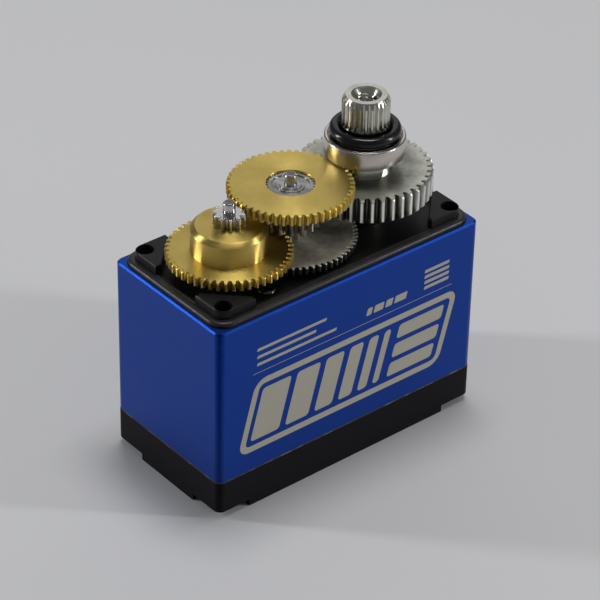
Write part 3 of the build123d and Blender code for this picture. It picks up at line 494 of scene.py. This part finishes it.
class Print:
    """Closed flat shapes on the front of the shell, gathered into one piece."""

    def __init__(self):
        self.points, self.faces = [], []
        self.face_y = SHELL_LOW.y / MM

    def outline(self, x_range, z_range, radius, inset=0.0, slant=SLANT, corner_steps=6):
        """A leaning rectangle with rounded corners, counter-clockwise, made smaller by inset."""
        half_x = (x_range[1] - x_range[0]) / 2 - inset
        half_z = (z_range[1] - z_range[0]) / 2 - inset
        middle_x, middle_z = sum(x_range) / 2, sum(z_range) / 2
        radius = max(radius - inset, 0.02)
        loop = []
        for corner, (side_x, side_z) in enumerate([(1, 1), (-1, 1), (-1, -1), (1, -1)]):
            for step in range(corner_steps + 1):
                angle = math.pi / 2 * (corner + step / corner_steps)
                x = side_x * (half_x - radius) + radius * math.cos(angle)
                z = side_z * (half_z - radius) + radius * math.sin(angle)
                loop.append((middle_x + x + slant * z, middle_z + z))
        return loop

    def layer(self, loop, depth):
        first = len(self.points)
        self.points += [(x, self.face_y + depth, z) for x, z in loop]
        return list(range(first, first + len(loop)))

    def strip(self, one, other):
        count = len(one)
        for here in range(count):
            after = (here + 1) % count
            self.faces.append((one[here], one[after], other[after], other[here]))

    def solid(self, loop):
        front, back = self.layer(loop, -PRINT_PROUD), self.layer(loop, PRINT_BACK)
        self.strip(front, back)
        self.faces += [tuple(front), tuple(back)]

    def ring(self, outer, inner):
        outer_front, outer_back = self.layer(outer, -PRINT_PROUD), self.layer(outer, PRINT_BACK)
        inner_front, inner_back = self.layer(inner, -PRINT_PROUD), self.layer(inner, PRINT_BACK)
        self.strip(outer_front, outer_back)
        self.strip(inner_front, inner_back)
        self.strip(outer_front, inner_front)
        self.strip(outer_back, inner_back)

    def frame(self, x_range, z_range, radius, width):
        self.ring(self.outline(x_range, z_range, radius), self.outline(x_range, z_range, radius, width))

    def bar(self, x_range, z_range, radius=0.1):
        self.solid(self.outline(x_range, z_range, radius))


def add_print(material):
    """Plain bars and one frame stand where the case has its wording and badge, without their shapes."""
    art = Print()
    art.bar((-15.2, 16.2), (19.33, 19.39), 0.02)

    low, high = 8.1, 18.3
    art.frame((-16.1, 15.9), (low, high), 1.6, 0.85)
    left = -14.6
    for width in (4.4, 3.6, 2.8, 2.1, 1.5, 1.0):
        art.bar((left, left + width), (low + 1.55, high - 1.55), 0.45)
        left += width + 0.95
    row_height = 1.9
    for row in range(3):
        start = low + 1.55 + row * 2.6
        lean = SLANT * (start + row_height / 2 - (low + high) / 2)
        art.bar((left + 0.4 + lean, 14.2 + lean), (start, start + row_height), 0.4)

    for row, length in enumerate((12.2, 9.0, 10.6)):
        art.bar((-14.6, -14.6 + length), (20.35 + 1.05 * row, 20.75 + 1.05 * row), 0.12)
    left = 2.4
    for width in (0.8, 1.5, 1.1, 1.9):
        art.bar((left, left + width), (20.35, 21.35), 0.15)
        left += width + 0.35

    for row in range(4):
        art.bar((11.6, 15.6), (20.35 + 0.8 * row, 20.8 + 0.8 * row), 0.12)
    piece_from("front_print", art.points, art.faces, material, "case")


# ------------------------------------------------------------------ the studio
def build_floor():
    half = 3.0
    corners = [(-half, -half, 0), (half, -half, 0), (half, half, 0), (-half, half, 0)]
    mesh = bpy.data.meshes.new("floor")
    mesh.from_pydata(corners, [], [(0, 1, 2, 3)])
    floor = link(bpy.data.objects.new("floor", mesh))
    tree = Tree("floor_pale")
    broad = tree.noise(0.01, 2.0)
    tree.set(Base_Color=tree.mix(broad, (0.62, 0.62, 0.63), (0.66, 0.66, 0.67)), Roughness=0.75)
    mesh.materials.append(tree.material)


def area_light(name, position, target, size, power, color=(1, 1, 1)):
    light = bpy.data.lights.new(name, "AREA")
    light.shape = "RECTANGLE"
    light.size, light.size_y = size
    light.energy = power
    light.color = color
    holder = link(bpy.data.objects.new(name, light))
    holder.location = position
    holder.rotation_euler = (Vector(position) - Vector(target)).to_track_quat("Z", "Y").to_euler()


def build_lights():
    world = bpy.data.worlds.new("studio")
    bpy.context.scene.world = world
    world.use_nodes = True
    background = world.node_tree.nodes["Background"]
    background.inputs["Color"].default_value = (0.80, 0.84, 0.92, 1)
    background.inputs["Strength"].default_value = 0.15
    middle = (0, 0, 0.022)
    area_light("top_softbox", (0.06, 0.03, 0.44), middle, (0.20, 0.12), 0.8, (1.0, 0.985, 0.96))
    area_light("back_panel", (0.25, 0.29, 0.27), middle, (0.34, 0.26), 0.17, (1.0, 0.99, 0.97))
    area_light("left_strip", (-0.32, 0.32, 0.15), middle, (0.045, 0.28), 0.98, (0.97, 0.98, 1.0))
    area_light("right_strip", (0.31, -0.32, 0.15), middle, (0.03, 0.28), 0.8)


# ------------------------------------------------------------------ make everything
def main():
    bpy.context.scene.view_settings.view_transform = "Standard"
    build_camera()
    dress_nodes()
    add_screw_thread(NODES["output_gear"].data.materials[0])
    add_print(print_ink())
    build_floor()
    build_lights()


main()
